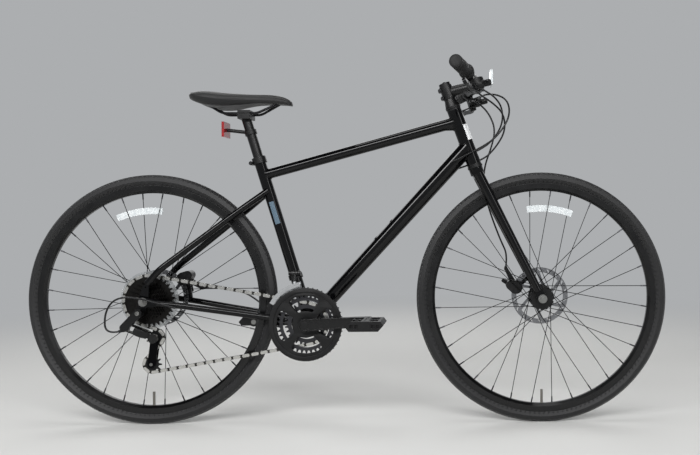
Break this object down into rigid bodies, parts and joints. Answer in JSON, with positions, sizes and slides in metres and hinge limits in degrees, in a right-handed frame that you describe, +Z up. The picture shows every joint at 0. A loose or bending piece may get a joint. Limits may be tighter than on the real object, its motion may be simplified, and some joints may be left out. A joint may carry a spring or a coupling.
{
  "type": "hybrid bicycle",
  "caption": "Hybrid bicycle with a sloping diamond frame, rigid fork, flat bar, disc brakes and derailleur gears, built from separate moving sub-parts.",
  "frame": {"origin": "on the ground midway between the axles, in the plane of the wheels", "axes": "+X forward, +Y to the rider's left, +Z up; the chain is on the right, at -Y"},
  "size_m": [1.7759, 0.6448, 0.9772],
  "materials": {
    "frame_paint": "gloss",
    "black_alloy": "satin",
    "steel": "bright",
    "spoke_steel": "black oxide",
    "cage_steel": "dark",
    "tyre": "matte",
    "rubber": "matte",
    "saddle_cover": "matte synthetic cover over foam",
    "black_plastic": "satin",
    "cable_housing": "satin",
    "white_lens": "prismatic",
    "red_lens": "prismatic"
  },
  "bodies": {
    "frame": {"head_tube": "frame_paint", "top_tube": "frame_paint", "down_tube": "frame_paint", "seat_tube": "frame_paint", "bottom_bracket": "frame_paint", "chainstays": "frame_paint", "seatstays": "frame_paint", "seat_clamp": "black_alloy", "rear_axle": "steel", "rear_caliper": "black_alloy", "front_derailleur": "black_alloy", "chain": "steel", "control_cables": "cable_housing", "derailleur_cable": "cable_housing", "derailleur_body": "black_alloy"},
    "seat": {"seatpost": "black_alloy", "saddle_rails": "steel", "saddle": "saddle_cover", "rear_reflector": "red_lens"},
    "steering": {"fork": "frame_paint", "stem": "black_alloy", "handlebar": "black_alloy", "grips": "rubber", "control_pod_right": "black_plastic", "control_pod_left": "black_plastic", "front_reflector": "white_lens", "front_brake_cable": "cable_housing", "front_caliper": "black_alloy", "front_axle": "steel"},
    "front_wheel": {"front_tyre": "tyre", "front_rim": "black_alloy", "front_spokes": "spoke_steel", "front_hub": "black_alloy", "front_rotor": "steel"},
    "rear_wheel": {"rear_tyre": "tyre", "rear_rim": "black_alloy", "rear_spokes": "spoke_steel", "rear_hub": "black_alloy", "rear_rotor": "steel"},
    "freewheel": {"freewheel_cogs": "steel"},
    "crank": {"crank_arm_right": "black_alloy", "crank_arm_left": "black_alloy", "chainrings": "steel", "chain_guard": "black_plastic"},
    "pedal_right_body": {"pedal_right": "black_plastic"},
    "pedal_left_body": {"pedal_left": "black_plastic"},
    "brake_lever_right_body": {"brake_lever_right": "black_alloy"},
    "brake_lever_left_body": {"brake_lever_left": "black_alloy"},
    "thumb_lever_right_body": {"thumb_lever_right": "black_plastic"},
    "thumb_lever_left_body": {"thumb_lever_left": "black_plastic"},
    "release_lever_right_body": {"release_lever_right": "black_plastic"},
    "release_lever_left_body": {"release_lever_left": "black_plastic"},
    "front_caliper_arm_body": {"front_caliper_arm": "black_alloy"},
    "rear_caliper_arm_body": {"rear_caliper_arm": "black_alloy"},
    "derailleur_link_body": {"derailleur_link": "black_alloy"},
    "derailleur_knuckle_body": {"derailleur_knuckle": "black_alloy"},
    "derailleur_cage_body": {"derailleur_cage": "cage_steel"},
    "guide_pulley_body": {"guide_pulley": "black_plastic"},
    "tension_pulley_body": {"tension_pulley": "black_plastic"},
    "front_derailleur_cage_body": {"front_derailleur_cage": "steel"}
  },
  "joints": [
    {"name": "steering_turn", "type": "hinge", "parent": "frame", "child": "steering", "pos_m": [0.35686, 0, 0.71842], "axis": [-0.342, 0, 0.9397], "range_deg": [-60, 60], "deforming": ["control_cables"]},
    {"name": "front_wheel_spin", "type": "hinge", "parent": "steering", "child": "front_wheel", "pos_m": [0.541, 0, 0.347], "axis": [0, 1, 0], "continuous": true},
    {"name": "rear_wheel_spin", "type": "hinge", "parent": "frame", "child": "rear_wheel", "pos_m": [-0.541, 0, 0.347], "axis": [0, 1, 0], "continuous": true},
    {"name": "crank_spin", "type": "hinge", "parent": "frame", "child": "crank", "pos_m": [-0.10482, 0, 0.282], "axis": [0, 1, 0], "continuous": true, "deforming": ["chain"]},
    {"name": "freewheel_spin", "type": "hinge", "parent": "frame", "child": "freewheel", "pos_m": [-0.541, 0, 0.347], "axis": [0, 1, 0], "continuous": true},
    {"name": "pedal_right_spin", "type": "hinge", "parent": "crank", "child": "pedal_right_body", "pos_m": [0.06994, 0, 0.29116], "axis": [0, 1, 0], "continuous": true},
    {"name": "pedal_left_spin", "type": "hinge", "parent": "crank", "child": "pedal_left_body", "pos_m": [-0.27958, 0, 0.27284], "axis": [0, 1, 0], "continuous": true},
    {"name": "seat_height", "type": "slide", "parent": "frame", "child": "seat", "axis": [-0.2924, 0, 0.9563], "range_m": [-0.05, 0.06]},
    {"name": "brake_lever_right_pull", "type": "hinge", "parent": "steering", "child": "brake_lever_right_body", "pos_m": [0.35557, -0.18783, 0.8988], "axis": [-0.9128, 0.187, -0.3631], "range_deg": [0, 11], "stiffness_Nm_per_rad": 2},
    {"name": "brake_lever_left_pull", "type": "hinge", "parent": "steering", "child": "brake_lever_left_body", "pos_m": [0.35557, 0.18783, 0.8988], "axis": [0.9128, 0.187, 0.3631], "range_deg": [0, 11], "stiffness_Nm_per_rad": 2},
    {"name": "rear_caliper_pull", "type": "hinge", "parent": "frame", "child": "rear_caliper_arm_body", "pos_m": [-0.47323, 0.0754, 0.39995], "axis": [0, -1, 0], "range_deg": [0, 20]},
    {"name": "front_caliper_pull", "type": "hinge", "parent": "steering", "child": "front_caliper_arm_body", "pos_m": [0.47334, 0.0604, 0.37162], "axis": [0, 1, 0], "range_deg": [0, 20]},
    {"name": "thumb_lever_right_push", "type": "hinge", "parent": "steering", "child": "thumb_lever_right_body", "pos_m": [0.36173, -0.16198, 0.91868], "axis": [0.3496, -0.1022, -0.9313], "range_deg": [0, 25], "stiffness_Nm_per_rad": 0.5},
    {"name": "thumb_lever_left_push", "type": "hinge", "parent": "steering", "child": "thumb_lever_left_body", "pos_m": [0.36173, 0.16198, 0.91868], "axis": [-0.3496, -0.1022, 0.9313], "range_deg": [0, 25], "stiffness_Nm_per_rad": 0.5},
    {"name": "release_lever_right_pull", "type": "hinge", "parent": "steering", "child": "release_lever_right_body", "pos_m": [0.36173, -0.16198, 0.91868], "axis": [-0.3496, 0.1022, 0.9313], "range_deg": [0, 20], "stiffness_Nm_per_rad": 0.5},
    {"name": "release_lever_left_pull", "type": "hinge", "parent": "steering", "child": "release_lever_left_body", "pos_m": [0.36173, 0.16198, 0.91868], "axis": [0.3496, 0.1022, -0.9313], "range_deg": [0, 20], "stiffness_Nm_per_rad": 0.5},
    {"name": "derailleur_swing", "type": "hinge", "parent": "frame", "child": "derailleur_link_body", "pos_m": [-0.58429, -0.075, 0.28038], "axis": [-0.5, 0, -0.866], "range_deg": [0, 33], "deforming": ["chain"]},
    {"name": "derailleur_level", "type": "hinge", "parent": "derailleur_link_body", "child": "derailleur_knuckle_body", "pos_m": [-0.54378, -0.048, 0.257], "axis": [-0.5, 0, -0.866], "range_deg": [-33, 0]},
    {"name": "cage_pivot", "type": "hinge", "parent": "derailleur_knuckle_body", "child": "derailleur_cage_body", "pos_m": [-0.523, -0.032, 0.245], "axis": [0, 1, 0], "range_deg": [-35, 30], "deforming": ["chain"]},
    {"name": "guide_pulley_spin", "type": "hinge", "parent": "derailleur_cage_body", "child": "guide_pulley_body", "pos_m": [-0.523, -0.032, 0.245], "axis": [0, 1, 0], "continuous": true},
    {"name": "tension_pulley_spin", "type": "hinge", "parent": "derailleur_cage_body", "child": "tension_pulley_body", "pos_m": [-0.533, -0.032, 0.172], "axis": [0, 1, 0], "continuous": true},
    {"name": "front_derailleur_swing", "type": "hinge", "parent": "frame", "child": "front_derailleur_cage_body", "pos_m": [-0.14041, -0.026, 0.41923], "axis": [-1, 0, 0], "range_deg": [0, 10], "stiffness_Nm_per_rad": 1, "deforming": ["chain"]}
  ],
  "couplings": [
    {"joint": "freewheel_spin", "follows": "crank_spin", "ratio": 0.82353},
    {"joint": "tension_pulley_spin", "follows": "crank_spin", "ratio": 2.5455},
    {"joint": "guide_pulley_spin", "follows": "crank_spin", "ratio": -2.5455},
    {"joint": "rear_caliper_pull", "follows": "brake_lever_right_pull", "ratio": 1.8182},
    {"joint": "front_caliper_pull", "follows": "brake_lever_left_pull", "ratio": 1.8182},
    {"joint": "derailleur_level", "follows": "derailleur_swing", "ratio": -1}
  ]
}
